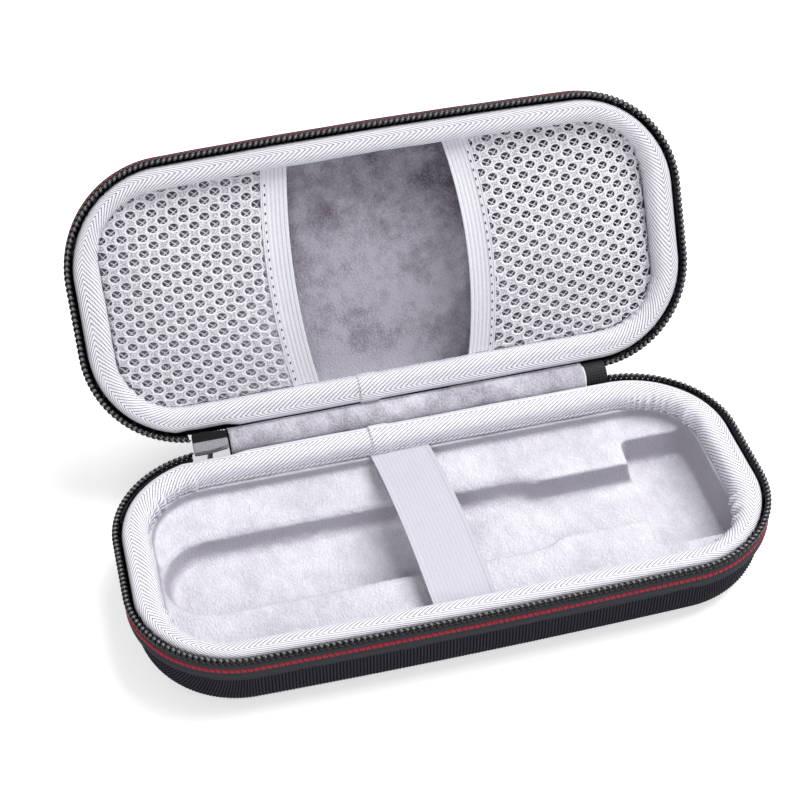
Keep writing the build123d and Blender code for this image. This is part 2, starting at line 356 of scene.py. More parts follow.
def along_path(path, distance):
    """The point at a distance along a chain of straight runs."""
    for start, end in zip(path, path[1:]):
        run = (end - start).length
        if distance <= run:
            break
        distance -= run
    return start.lerp(end, min(1, distance / run))


# The tape's section, from the coil down: inset from the zip line, and drop from the rim.
tape_section = [Vector((inset, rim - drop)) for inset, drop in (
    (0.0008, 0.0026), (-0.0003, 0.0026), (-0.00048, 0.0032), (-0.0005, 0.0064),
    (-0.00075, 0.0072), (-0.0008, 0.0083), (-0.00045, 0.0092), (0.0007, 0.0094))]
tape_width = sum((b - a).length for a, b in zip(tape_section, tape_section[1:]))
tape = flat_cloth("base_tape", zip_end - zip_start, tape_width, 340, 16)


def tape_in_place(point):
    """A flat tape's point on its section, round the case, with a little wander."""
    place = along_path(tape_section, point.y)
    wander = 0.00012 * noise.noise(Vector((point.x * 60, point.y * 200, 0)))
    return round_case(Vector((zip_start + point.x, place.x + wander, place.y)))


reshape(tape, tape_in_place)
tape.data.flip_normals()
thicken(tape, tape_thickness)


def lid_twin(piece, name):
    """The lid's copy of a piece that the base has, standing open."""
    twin = piece.copy()
    twin.data = piece.data.copy()
    twin.name = twin.data.name = name
    bpy.context.scene.collection.objects.link(twin)
    stand_open(twin)
    return twin


def tape_cloth():
    """Close twill in dark grey."""
    material, tree, shader = finish("tape_cloth", paint(50, 52, 56), 0.7, gloss=0.15)
    along, across = along_and_across(tree)
    twill = waves(tree, calc(tree, "ADD", along, across), 0.0006)
    warp = waves(tree, across, 0.0005)
    weave = calc(tree, "MULTIPLY", twill, warp)
    tint(tree, shader, weave, paint(44, 45, 50), paint(72, 74, 80))
    relief(tree, shader, weave, 0.00006)
    return material


tape_finish = tape_cloth()
lid_tape = lid_twin(tape, "lid_tape")
dress(tape, tape_finish, "base", "zip_tape", "base_zip_tape")
dress(lid_tape, tape_finish, "lid", "zip_tape", "lid_zip_tape")


# ---- Zip coils -------------------------------------------------------------------------
# Each strand is one nylon wire wound into a coil. One turn of the wire is swept here, and
# repeated along the line before it is bent round the case.
coil_size = 0.00124             # radius over the wire
wire_half_width = 0.00084       # along the line: the wire is flattened
wire_radius = 0.00048
coil_pitch = 0.00212
coil_turns = round((zip_end - zip_start) / coil_pitch)
core_radius = 0.00070           # the cord that the wire is wound round
glint_from = 0.8                # painted glint on each turn's crown, from this share of the coil's radius


def wound_coil():
    """The coil, straight, with its middle at inset 0."""
    bpy.ops.object.select_all(action="DESELECT")
    bpy.ops.mesh.primitive_circle_add(vertices=8, radius=wire_radius, rotation=(math.pi / 2, 0, 0),
                                      location=(zip_start, 0, coil_size - wire_radius))
    coil = bpy.context.object
    coil.name = coil.data.name = "base_coil"
    coil.scale.x = wire_half_width / wire_radius
    bpy.ops.object.transform_apply()
    work(coil, "SCREW", axis="X", screw_offset=coil_pitch, iterations=coil_turns, steps=12,
         render_steps=12, use_normal_calculate=True)
    bpy.ops.mesh.primitive_circle_add(vertices=8, radius=core_radius, rotation=(0, math.pi / 2, 0),
                                      location=(zip_start, 0, 0))
    core = bpy.context.object
    bpy.ops.object.transform_apply()
    work(core, "SCREW", axis="X", angle=0, screw_offset=zip_end - zip_start, steps=320,
         render_steps=320)
    coil.select_set(True)
    bpy.context.view_layer.objects.active = coil
    bpy.ops.object.join()
    bpy.ops.object.mode_set(mode="EDIT")
    bpy.ops.mesh.select_all(action="SELECT")
    bpy.ops.mesh.fill_holes(sides=8)
    bpy.ops.mesh.normals_make_consistent()
    bpy.ops.object.mode_set(mode="OBJECT")
    return coil


coil = wound_coil()
# painted glint: how far each point lies on a turn's crown, where light grey is painted
crown = coil.data.attributes.new("crown", "FLOAT", "POINT")
for vertex, entry in zip(coil.data.vertices, crown.data):
    entry.value = min(1, max(0, vertex.co.z / coil_size - glint_from) / (1 - glint_from))
reshape(coil, lambda p: round_case(Vector((p.x, p.y, p.z + rim - coil_size))))


def coil_nylon():
    """Glossy black nylon, with a painted light grey glint on the crown of each turn."""
    material, tree, shader = finish("coil_nylon", paint(4, 4, 6), 0.1, gloss=0.4)
    dust = grain(tree, 0.0009)
    # painted glint: light grey on the crown of each turn, black elsewhere
    tint(tree, shader, node(tree, "Attribute", attribute_name="crown").outputs["Fac"],
         paint(4, 4, 6), paint(132, 133, 138))
    wear = node(tree, "MapRange", dust, 0.3, 0.7, 0.08, 0.16)
    tree.links.new(wear.outputs[0], shader.inputs["Roughness"])
    relief(tree, shader, dust, 0.00002)
    return material


nylon = coil_nylon()
lid_coil = lid_twin(coil, "lid_coil")
dress(coil, nylon, "base", "zip_coil", "base_zip_coil")
dress(lid_coil, nylon, "lid", "zip_coil", "lid_zip_coil")


# ---- Red stitching ---------------------------------------------------------------------
# The tape is sewn to the shell with one line of thick red thread. One slanted stitch is
# made, copied along the line and bent round the case with it.
stitch_pitch = 0.00212
stitch_middle = rim - 0.00535
stitch_count = round((zip_end - zip_start) / stitch_pitch)
strand_half = 0.00041           # a stitch is two strands side by side
strand_size = (0.00048, 0.00045, 0.00108)
strand_out = 0.0004             # zip line out to a strand's middle
stitch_slant = math.radians(22)


def stitch_line():
    """All stitches of one half, on the straight line."""
    bpy.ops.object.select_all(action="DESELECT")
    strands = []
    for strand in (-strand_half, strand_half):
        spot = (zip_start + stitch_pitch / 2 + strand, -strand_out, stitch_middle)
        bpy.ops.mesh.primitive_uv_sphere_add(segments=8, ring_count=6, radius=1, location=spot)
        bpy.ops.object.mode_set(mode="EDIT")
        bpy.ops.transform.resize(value=strand_size)
        bpy.ops.transform.rotate(value=stitch_slant, orient_axis="Y", center_override=spot)
        bpy.ops.object.mode_set(mode="OBJECT")
        bpy.ops.object.transform_apply()
        strands.append(bpy.context.object)
    for piece in strands:
        piece.select_set(True)
    bpy.ops.object.join()
    stitch = bpy.context.object
    stitch.name = stitch.data.name = "base_stitches"
    work(stitch, "ARRAY", count=stitch_count, use_relative_offset=False, use_constant_offset=True,
         constant_offset_displace=(stitch_pitch, 0, 0))
    return stitch


def thread_twist():
    """Thick red thread with its plies showing."""
    material, tree, shader = finish("red_thread", paint(172, 26, 44), 0.6)
    plies = grain(tree, 0.0004)
    tint(tree, shader, plies, paint(108, 9, 25), paint(204, 42, 64))
    relief(tree, shader, plies, 0.00008)
    return material


stitches = stitch_line()
reshape(stitches, round_case)
red_thread = thread_twist()
lid_stitches = lid_twin(stitches, "lid_stitches")
dress(stitches, red_thread, "base", "stitching", "base_stitching")
dress(lid_stitches, red_thread, "lid", "stitching", "lid_stitching")


# ---- Binding ---------------------------------------------------------------------------
# A wide herringbone tape is folded over each foam rim: a skirt inside the coil, a soft
# crown, and a hem that is glued down inside. It is one strip, lapped over itself behind.
skirt_inset = 0.0018            # zip line in to the skirt
skirt_drop = 0.0047             # rim down to its foot
skirt_radius = 0.0024           # rounding from skirt to crown
roll = 0.0044                   # and from crown to hem
hem_drop = 0.0074
slider_x = -0.0759              # the parked slider's plate presses the skirt in beside it
slider_dent = 0.0011
dent_reach = 0.0125             # to either side of the slider's middle
dent_fade = 0.005
opening_end = 0.1045            # middle of the case to the hem at either end
opening_back = 0.0398           # at the hinge
opening_front = 0.0406          # and at the front, before its bow
opening_radius = 0.022
lap = 0.007                     # the ends lie over each other this far
lap_step = 0.0004
hem_from = 0.42                 # share of the width where the tape starts to gather
pressed = 0.00035               # how far the sewing pulls the tape into the foam
binding_width = 0.0206
binding_thickness = 0.0007
herring_spine = 0.0078          # skirt's foot to where the herringbone turns
herring_pitch = 0.0021
herring_thread = 0.00088
hem_seam = 0.0017               # hem to its line of stitches


def outside_opening(place):
    """Distance from a place to the edge of the opening."""
    half = opening_back if place.y > 0 else opening_front
    past_end = abs(place.x) - opening_end + opening_radius
    arm = Vector((past_end, abs(place.y) - half + opening_radius))
    if min(arm) < 0:
        return max(arm) - opening_radius
    return arm.length - opening_radius


@functools.cache
def rim_width(station):
    """From the zip line in to the opening, at a place along the line."""
    spot, way_in = on_zip_line(station)
    width = 0
    for _ in range(12):
        width += outside_opening(spot + width * way_in)
    return width


def over_rim(share, foot, width):
    """Place (inset, height) and way out, at a share of the way from skirt's foot to hem."""
    skirt = skirt_drop - skirt_radius
    crown = width - foot - skirt_radius - roll
    hem = hem_drop - roll
    quarter = math.pi / 2
    runs = (skirt, skirt_radius * quarter, crown, roll * quarter, hem)
    distance = share * sum(runs)
    if distance < runs[0]:
        return Vector((foot, rim - skirt_drop + distance)), heading(math.pi)
    distance -= runs[0]
    if distance < runs[1]:
        out = heading(math.pi - distance / skirt_radius)
        return Vector((foot + skirt_radius, rim - skirt_radius)) + skirt_radius * out, out
    distance -= runs[1]
    if distance < crown:
        return Vector((foot + skirt_radius + distance, rim)), heading(quarter)
    distance -= crown
    if distance < runs[3]:
        out = heading(quarter - distance / roll)
        return Vector((width - roll, rim - roll)) + roll * out, out
    return Vector((width, rim - roll - (distance - runs[3]))), heading(0)


def binding_in_place(point, gathers):
    """A flat tape's point over the rim, with the soft shape of what it covers."""
    station = round(point.x, 6)
    spot, way_in = on_zip_line(station)
    across = point.y / binding_width
    beside = abs(station - (binding_joint - slider_x))
    dent = slider_dent * min(1, max(0, (dent_reach - beside) / dent_fade))
    place, out = over_rim(across, skirt_inset + dent, rim_width(station))
    # soft lumps of the foam, and pleats where the tape is gathered round the corners
    lumps = noise.noise(Vector((station * 45, point.y * 60, 3)))
    corner_share = min(1, 4 * abs(way_in.x * way_in.y))
    pleats = abs(noise.noise(Vector((station * 330, point.y * 25, 9))))
    puckers = noise.noise(Vector((station * 160, point.y * 90, 6)))
    inner = min(1, max(0, (across - hem_from) * 2.5))
    folds = inner * (0.0002 * puckers + gathers * corner_share * pleats * (1 - max(0, out.y)))
    raised = folds - pressed - 0.00015 * (1 + lumps)
    if point.x > around:
        raised += lap_step
    place = place + raised * out
    return round_case(Vector((station, place.x, place.y)))


def rim_binding(name, gathers):
    """One rim's binding; gathers is how far its pleats stand out at the corners."""
    binding = flat_cloth(name, around + lap, binding_width, 800, 32)
    reshape(binding, lambda point: binding_in_place(point, gathers))
    thicken(binding, binding_thickness)
    return binding


def herringbone():
    """White herringbone: ribs that slant to a spine, with painted shade in the valleys between ribs
    and between threads.
    """
    material, tree, shader = finish("herringbone", paint(238, 237, 241), 0.9, gloss=0.15)
    along, across = along_and_across(tree)
    past_spine = calc(tree, "SUBTRACT", across, herring_spine)
    climb = calc(tree, "MAXIMUM", calc(tree, "MULTIPLY", past_spine, 1.3),
                 calc(tree, "MULTIPLY", past_spine, -2))
    ribs = waves(tree, calc(tree, "ADD", along, climb), herring_pitch)
    valley_shade = node(tree, "MapRange", ribs, 0, 0.4, 1, 0)
    slant = calc(tree, "SUBTRACT", climb, calc(tree, "MULTIPLY", along, 0.4))
    threads = calc(tree, "MULTIPLY", waves(tree, slant, herring_thread), 0.8)
    fray = calc(tree, "MULTIPLY", grain(tree, 0.0012), 0.8)
    # painted shade in the valleys between ribs and in the gaps between threads
    gap_shade = calc(tree, "MULTIPLY", valley_shade, calc(tree, "ADD", 0.2, threads))
    gap_shade = calc(tree, "MULTIPLY", gap_shade, calc(tree, "ADD", 0.65, fray))
    hem = calc(tree, "ABSOLUTE", calc(tree, "SUBTRACT", across, binding_width - hem_seam))
    hem = node(tree, "MapRange", hem, 0.0002, 0.0005, 1, 0)
    dashes = calc(tree, "MULTIPLY", hem, waves(tree, along, 0.0016))
    # the painted shade, together with the hem's dark stitches, which are real
    share = calc(tree, "MAXIMUM", gap_shade, calc(tree, "MULTIPLY", dashes, 0.5))
    tint(tree, shader, share, paint(241, 240, 248), paint(36, 34, 46))
    relief(tree, shader, calc(tree, "SUBTRACT", 1, gap_shade), 0.0003)
    return material


binding_finish = herringbone()
base_binding = rim_binding("base_rim_binding", 0.0036)
for corner_uv in base_binding.data.uv_layers.active.data:
    corner_uv.uv.x *= -1        # this one is sewn on with its herringbone the other way
smoother_binding = rim_binding("smoother_rim_binding", 0.0010)
lid_binding = lid_twin(smoother_binding, "lid_rim_binding")
bpy.data.objects.remove(smoother_binding)
dress(base_binding, binding_finish, "base", "binding_tape", "base_binding")
dress(lid_binding, binding_finish, "lid", "binding_tape", "lid_binding")


# ---- Plush insert and lining -----------------------------------------------------------
# The base holds a moulded foam tray and the lid a thin pressed lining, both flocked with
# short grey plush. The pile hides every sharp edge, so the moulded shapes are softened.
pile_step = 0.0009              # the softened surface is drawn in steps of this


# The side colour is painted shade for steep walls; a direction and a middle set a painted light
# gradient.
def plush_pile(name, shade, light, brushed_share=0.35, side=paint(168, 164, 177), painted_light_way=(0, 0, 0),
               middle=(0, 0, 0)):
    """Short pile, brushed this way and that, darker on steep walls as painted shade.

    Painted light makes it grow lighter from its middle in one given direction."""
    material, tree, shader = finish(name, light, 0.95, 0.35, gloss=0.15)
    place = node(tree, "TexCoord").outputs["Object"]
    swirl = node(tree, "Mapping", place, (0, 0, 0), (0.5, 0.4, 0.7), (1, 0.55, 1))
    tufts = node(tree, "MapRange", grain(tree, 0.0007, 5, swirl), 0.35, 0.66, 0, 1)
    clumps = node(tree, "MapRange", grain(tree, 0.0045, 3, swirl), 0.35, 0.66, 0, 1)
    brushed = node(tree, "MapRange", grain(tree, 0.022, 3, place), 0.38, 0.62, 0, 1)
    pile = calc(tree, "ADD", calc(tree, "MULTIPLY", tufts, 0.35),
                calc(tree, "MULTIPLY", clumps, 0.3))
    share = calc(tree, "ADD", calc(tree, "MULTIPLY", brushed, brushed_share), pile)
    # painted light and shade: lighter from the middle one way, darker the other way
    from_middle = node(tree, "VectorMath", place, middle, operation="SUBTRACT")
    painted_light_gradient = node(tree, "VectorMath", from_middle, painted_light_way, operation="DOT_PRODUCT").outputs["Value"]
    share = calc(tree, "ADD", share, painted_light_gradient)
    # painted shade on steep walls, in the side colour
    painted_wall_shade = node(tree, "Attribute", attribute_name="wall_shade_share").outputs["Fac"]
    light = node(tree, "MixRGB", painted_wall_shade, light, side)
    tint(tree, shader, share, node(tree, "MixRGB", painted_wall_shade, shade, side), light)
    relief(tree, shader, tufts, 0.0003)
    return material


def plush_copy(node_name, name):
    """A moulded piece with its edges softened and its surface a little uneven."""
    piece = frame["nodes"][node_name].copy()
    piece.data = piece.data.copy()
    piece.name = piece.data.name = name
    piece.parent = None
    for key in list(piece.keys()):
        if key.startswith("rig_"):
            del piece[key]
    bpy.context.scene.collection.objects.link(piece)
    work(piece, "WELD", merge_threshold=1e-6)
    work(piece, "REMESH", mode="VOXEL", voxel_size=pile_step)
    work(piece, "SMOOTH", factor=0.5, iterations=3)
    normals = [v.normal.copy() for v in piece.data.vertices]
    for vertex, normal in zip(piece.data.vertices, normals):
        lumps = noise.noise(vertex.co * 70) * 0.00035 + noise.noise(vertex.co * 420) * 0.00016
        vertex.co += normal * (lumps - 0.00015)
    return piece


tray = plush_copy("base_tray", "plush_tray")
flat_from, steep_from = 0.85, 0.35     # rise of the normal where the painted wall shade begins, and where it is full
# painted shade: the tray's steep walls are darkened, more the steeper they are
wall_shade_share = tray.data.attributes.new("wall_shade_share", "FLOAT", "POINT")
for vertex, entry in zip(tray.data.vertices, wall_shade_share.data):
    entry.value = min(1, max(0, (flat_from - vertex.normal.z) / (flat_from - steep_from)))
dress(tray, plush_pile("tray_plush", paint(200, 197, 208), paint(237, 235, 243)), "base",
      "plush", "base_tray")
lining = plush_copy("lid_lining", "lid_plush")
# The lid's plush is a darker copy of the tray's, as painted shade, and is lighter towards the lower
# left and darker towards the upper right as painted light and shade.
dress(lining, plush_pile("lid_plush", paint(98, 90, 104), paint(192, 187, 201), 0.5,
                         painted_light_way=(-4, 0, -7), middle=(0, 0, 0.082)), "lid", "plush", "lid_lining")
for name in ("base_rim_pad", "lid_rim_pad"):
    coat(frame["nodes"][name], tray.data.materials[0])


# ---- Strap and pocket elastics ---------------------------------------------------------
# Flat woven elastic: rubber cords run its length and show as ribs between the threads.
# The strap holds the shaver in its nest, and a narrower band hems each pocket's free edge.
tuck = 0.0009                   # how far the ends reach past the opening's edge
anchor_back = opening_back + tuck
anchor_front = opening_front + front_bow + tuck
span = anchor_back + anchor_front
anchor_height = rim - 0.0073
elastic_thickness = 0.0011
strap_x = -0.0045               # middle of the strap
strap_width = 0.023
strap_skew = math.radians(2.7)  # off square
strap_rise = 0.0046             # the bulge over what it holds
strap_rib = 0.00144
edge_cord = 0.0009              # the strap has two cords along either edge
band_width = 0.010
band_rib = 0.00156
pocket_rise = 0.0042
pockets = (("left", -0.0305, -1), ("right", 0.0284, 1))    # free edge's x, way to the rim
hem_fold = 0.0022               # the net's edge, turned under the band and stitched
net_pull = 0.0039               # how far the net draws the middle of a band aside


def arched(y, rise):
    """Height of what is stretched across the opening."""
    share = (2 * y + anchor_front - anchor_back) / span
    return anchor_height + rise * (1 - share * share)


def woven_elastic(name, width, columns, steps, relief_of, place):
    """A band from back to front, with its ribs raised, put in place by place(y, across)."""
    band = flat_cloth(name, span, width, columns, steps)
    ribs = [relief_of(v.co.y) for v in band.data.vertices]
    reshape(band, lambda point: place(anchor_back - point.x, point.y))
    for vertex, rib in zip(band.data.vertices, ribs):
        vertex.co.z += rib
    if band.data.polygons[0].normal.z < 0:
        band.data.flip_normals()
    thicken(band, elastic_thickness)
    return band


def strap_ribs(across):
    """Flat cloth with two cords along either edge."""
    from_edge = min(across, strap_width - across)
    if from_edge < 2 * edge_cord:
        return 0.00028 * abs(math.sin(math.pi * from_edge / edge_cord))
    return 0.00003 * math.cos(2 * math.pi * across / strap_rib)


def strap_place(y, across):
    """The strap's place, a little askew, arched over what it holds."""
    x = across - strap_width / 2
    ripple = 0.0002 * noise.noise(Vector((x * 90, y * 50, 5)))
    turned = Matrix.Rotation(strap_skew, 4, "Z") @ Vector((x, y, 0))
    return Vector((turned.x + strap_x, turned.y, arched(y, strap_rise) + ripple))


def band_ribs(across):
    """Five bold ribs from the free edge, then the flat stitched fold."""
    if across > band_width - hem_fold:
        return 0.00022
    return 0.00013 * abs(math.sin(math.pi * across / band_rib)) - 0.00005


def band_place(free_edge, outwards):
    """The band's place; its free edge is drawn back a little by the net's pull."""
    def place(y, across):
        share = (2 * y + anchor_front - anchor_back) / span
        drawn = net_pull * (1 - share * share)
        sag = 0.0004 * math.sin(math.pi * across / band_width)
        x = free_edge + outwards * (across + drawn)
        return Vector((x, y, arched(y, pocket_rise) - sag))
    return place


def elastic_weave(name, rib_pitch, rib_share, light, dark):
    """Off-white ribs crossed by fine threads, with darker lines at the rib pitch as painted shade
    of the grooves between ribs.
    """
    material, tree, shader = finish(name, paint(226, 224, 233), 0.85, gloss=0.2)
    along, across = along_and_across(tree)
    ribs = node(tree, "MapRange", waves(tree, across, rib_pitch), 0.5, 1, 0, 1)
    picks = waves(tree, along, 0.0007)
    wales = waves(tree, across, 0.00072)
    weave = calc(tree, "MULTIPLY", picks, wales)
    cloudy = grain(tree, 0.0012)
    # painted shade: darker lines at the rib pitch, added to the weave pattern and random tone
    share = calc(tree, "ADD", calc(tree, "MULTIPLY", weave, 0.3),
                 calc(tree, "MULTIPLY", ribs, rib_share))
    share = calc(tree, "MULTIPLY", share, calc(tree, "ADD", 0.5, cloudy))
    tint(tree, shader, share, light, dark)
    relief(tree, shader, calc(tree, "SUBTRACT", 1, share), 0.0002)
    return material


strap_finish = elastic_weave("strap_weave", strap_rib, 0.12, paint(206, 204, 215),
                             paint(120, 117, 131))
band_finish = elastic_weave("band_weave", band_rib, 0.25, paint(232, 231, 239),
                            paint(128, 125, 140))
strap = woven_elastic("holding_strap", strap_width, 96, 96, strap_ribs, strap_place)
dress(strap, strap_finish, "base", "elastic", "base_strap")
for side, free_edge, outwards in pockets:
    band = woven_elastic(side + "_pocket_band", band_width, 84, 52, band_ribs,
                         band_place(free_edge, outwards))
    stand_open(band)
    dress(band, band_finish, "lid", "elastic", side + "_pocket_elastic")


def hem_stitches(side, free_edge, outwards):
    """Grey thread that sews the net's turned edge to the band, one stitch copied along it."""
    pitch = 0.0034
    bpy.ops.object.select_all(action="DESELECT")
    bpy.ops.mesh.primitive_uv_sphere_add(segments=8, ring_count=5, radius=1)
    thread = bpy.context.object
    thread.name = thread.data.name = side + "_hem_stitches"
    bpy.ops.object.mode_set(mode="EDIT")
    bpy.ops.transform.resize(value=(0.0006, 0.0003, 0.0002))
    bpy.ops.object.mode_set(mode="OBJECT")
    work(thread, "ARRAY", count=int(span / pitch) - 1, use_relative_offset=False,
         use_constant_offset=True, constant_offset_displace=(pitch, 0, 0))
    place = band_place(free_edge, outwards)

    def sewn(point):
        spot = place(anchor_back - pitch - point.x, band_width - 0.7 * hem_fold + point.y)
        return spot + Vector((0, 0, point.z + 0.00028))

    reshape(thread, sewn)
    if outwards < 0:
        thread.data.flip_normals()
    stand_open(thread)
    return thread


grey_thread, grey_tree, grey_shader = finish("grey_thread", paint(52, 48, 58), 0.7)
relief(grey_tree, grey_shader, grain(grey_tree, 0.0004), 0.00005)
for side, free_edge, outwards in pockets:
    dress(hem_stitches(side, free_edge, outwards), grey_thread, "lid", "stitching")


# ---- Pocket nets -----------------------------------------------------------------------
# Knitted spacer net: a face of plump yarn round staggered holes, and a back layer whose
# threads cross behind each hole. It is cut to the lid's corners and tucked under the rim.
hole_spacing = Vector((0.0080, 0.0058))
hole_share = 0.485              # of the way to the next hole's middle that a hole takes
net_squares = 30
net_turns = {"left": -0.07, "right": 0.14}     # neither piece is cut square to the knit
yarn = 0.0009
back_thread = 0.00075
back_layer_gap = 0.0013
back_layer_shift = Vector((0.0004, 0.0006))
net_overlap = 0.001             # under the band and the rim


def beyond_panel(x, y, band_edge, outwards):
    """Distance outside the panel between a pocket's band and the rim."""
    half = anchor_back if y > 0 else anchor_front
    radius = opening_radius + tuck
    arm = Vector((abs(x) - opening_end - tuck + radius, abs(y) - half + radius))
    edge = arm.length - radius if min(arm) > 0 else max(arm) - radius
    return max(edge, (band_edge - x) * outwards)


def lattice(name, centre, turn):
    """Squares set on their corners, whose corners are the middles of the holes."""
    bpy.ops.object.select_all(action="DESELECT")
    bpy.ops.mesh.primitive_grid_add(x_subdivisions=net_squares, y_subdivisions=net_squares,
                                    size=net_squares / math.sqrt(2))
    net = bpy.context.object
    net.name = net.data.name = name
    for corner_uv in net.data.uv_layers.active.data:
        corner_uv.uv *= net_squares
    bpy.ops.object.mode_set(mode="EDIT")
    bpy.ops.transform.rotate(value=math.pi / 4, orient_axis="Z", center_override=(0, 0, 0))
    bpy.ops.transform.resize(value=(hole_spacing.x, hole_spacing.y, 1))
    bpy.ops.transform.rotate(value=turn, orient_axis="Z", center_override=(0, 0, 0))
    bpy.ops.transform.translate(value=(centre.x, centre.y, 0))
    bpy.ops.object.mode_set(mode="OBJECT")
    return net


def net_layers(side, free_edge, outwards):
    """One pocket's net: the face with its holes, and the threads behind them."""
    band_edge = free_edge + outwards * (band_width - net_overlap)
    far_end = outwards * (opening_end + tuck)
    centre = Vector(((band_edge + far_end) / 2, (anchor_back - anchor_front) / 2))

    def inside(face):
        return beyond_panel(face.center.x, face.center.y, band_edge, outwards) < net_overlap

    def tucked(point):
        """Pulls what sticks out back to the panel's edge, and bulges the rest."""
        x, y = point.x, point.y
        past = max(0, beyond_panel(x, y, band_edge, outwards))
        x = max(min(x, opening_end + tuck), -opening_end - tuck)
        x = outwards * max(x * outwards, band_edge * outwards)
        y = max(min(y, anchor_back), -anchor_front)
        share = (2 * y + anchor_front - anchor_back) / span
        x += outwards * net_pull * (1 - share * share) * (far_end - x) / (far_end - band_edge)
        along = (x - band_edge) / (far_end - band_edge)
        puff = min(1, (1 - along) * 4) ** 0.7
        rise = pocket_rise * puff
        rough = 0.0006 * noise.noise(Vector((x * 60, y * 60, 2)))
        return Vector((x, y, arched(y, rise) + rough - 0.5 * past + point.z))

    front = lattice(side + "_pocket_mesh", centre, net_turns[side])
    keep_faces(front, inside)
    bpy.ops.object.mode_set(mode="EDIT")
    bpy.ops.mesh.select_all(action="SELECT")
    bpy.ops.mesh.bevel(affect="VERTICES", offset_type="PERCENT", offset_pct=100 * hole_share,
                       segments=1)
    bpy.ops.object.mode_set(mode="OBJECT")
    keep_faces(front, lambda face: len(face.vertices) > 4)
    reshape(front, tucked)
    thicken(front, yarn)
    work(front, "SUBSURF", levels=2, render_levels=2)

    back = lattice(side + "_pocket_mesh_back", centre + back_layer_shift, net_turns[side])
    keep_faces(back, inside)
    reshape(back, tucked)
    work(back, "WIREFRAME", thickness=back_thread, use_even_offset=False)
    reshape(back, lambda point: point - Vector((0, 0, back_layer_gap)))
    for layer in (front, back):
        stand_open(layer)
    return front, back


def net_yarn():
    """White knit: plump loops round each hole, lighter by a painted highlight, with painted shade
    in small gaps between the loops.
    """
    material, tree, shader = finish("net_yarn", paint(224, 222, 229), 0.9, gloss=0.15)
    along, across = along_and_across(tree)     # here in the net's squares, a hole at each corner
    sides = [calc(tree, "SUBTRACT", side, calc(tree, "ROUND", side)) for side in (along, across)]
    squares = [calc(tree, "MULTIPLY", side, side) for side in sides]
    from_hole = calc(tree, "SQRT", calc(tree, "ADD", squares[0], squares[1]))
    between = node(tree, "MapRange", from_hole, 0.44, 0.52, 0, 1)
    loops = grain(tree, 0.0005, 3)
    gap_shade = node(tree, "MapRange", loops, 0.42, 0.6, 1, 0)
    share = calc(tree, "ADD", 0.15, calc(tree, "MULTIPLY", between, 0.45))
    share = calc(tree, "MULTIPLY", gap_shade, share)
    # painted highlight on the loops round each hole, painted shade in the gaps between loops
    tint(tree, shader, share, paint(240, 239, 244), paint(120, 117, 130))
    relief(tree, shader, calc(tree, "SUBTRACT", 1, share), 0.0003)
    return material


yarn_finish = net_yarn()
for side, free_edge, outwards in pockets:
    front, back = net_layers(side, free_edge, outwards)
    dress(front, yarn_finish, "lid", "pocket_net", side + "_pocket_net")
    dress(back, yarn_finish, "lid", "pocket_net")


# ---- Hinge -----------------------------------------------------------------------------
# The two shells are joined by cloth alone: a plush strip inside and black webbing outside.
# Both fold round the hinge line, one on either side of it, so they follow base and lid.
hinge_y, hinge_z = hinge_line.y, hinge_line.z
webbing_pitch = 0.0011


def fold_path(start, inner, waist, steps):
    """Points (y, z) from the base's end of a fold round the hinge line to the lid's end."""
    offset = Vector((start[0] - hinge_y, start[1] - hinge_z))
    reach, begin = offset.length, math.atan2(offset.y, offset.x)
    if inner:
        begin %= 2 * math.pi
        finish_at = 2 * math.pi - begin + lid_angle
    else:
        finish_at = -begin + lid_angle
    path = []
    for i in range(steps + 1):
        share = i / steps
        radius = waist + (reach - waist) * (2 * share - 1) ** 2
        angle = begin + (finish_at - begin) * share
        path.append(Vector((hinge_y, hinge_z)) + radius * heading(angle))
    return path


def mirrored(path):
    """The same points on the lid."""
    there = [shut_to_open @ upside_down @ Vector((0, p.x, p.y)) for p in path]
    return [Vector((p.y, p.z)) for p in reversed(there)]


def folded_cloth(name, left, right, flap, inner, waist, thickness):
    """A strip across the hinge, from a flap on the base to its twin on the lid."""
    path = flap + fold_path(flap[-1], inner, waist, 24)[1:-1] + mirrored(flap)
    width = sum((b - a).length for a, b in zip(path, path[1:]))
    cloth = flat_cloth(name, right - left, width, 110, 44)

    def in_place(point):
        spot = along_path(path, point.y)
        x = left + point.x
        lumps = 0.00018 * noise.noise(Vector((x * 55, point.y * 120, 4)))
        return Vector((x, spot.x, spot.y + lumps))

    reshape(cloth, in_place)
    if not inner:
        cloth.data.flip_normals()
    thicken(cloth, thickness)
    ends = [Vector(((left + right) / 2, p.x, p.y)) for p in (flap[-1], mirrored(flap)[0])]
    return cloth, width, ends


def hinge_webbing():
    """Tight black basket weave."""
    material, tree, shader = finish("hinge_webbing", paint(24, 24, 28), 0.6)
    along, across = along_and_across(tree)
    weave = calc(tree, "MULTIPLY", waves(tree, along, webbing_pitch),
                 waves(tree, across, webbing_pitch))
    tint(tree, shader, weave, paint(17, 17, 20), paint(52, 52, 58))
    relief(tree, shader, weave, 0.00015)
    return material


# Each strip is held to the base's back wall from the first point (y, z) to the second.
inside_flap = [Vector((0.0506, rim - 0.0044)), Vector((0.0507, rim - 0.0016))]
outside_flap = [Vector((0.0528, rim - 0.0090)), Vector((0.0530, rim - 0.0044))]
webbing_finish = hinge_webbing()
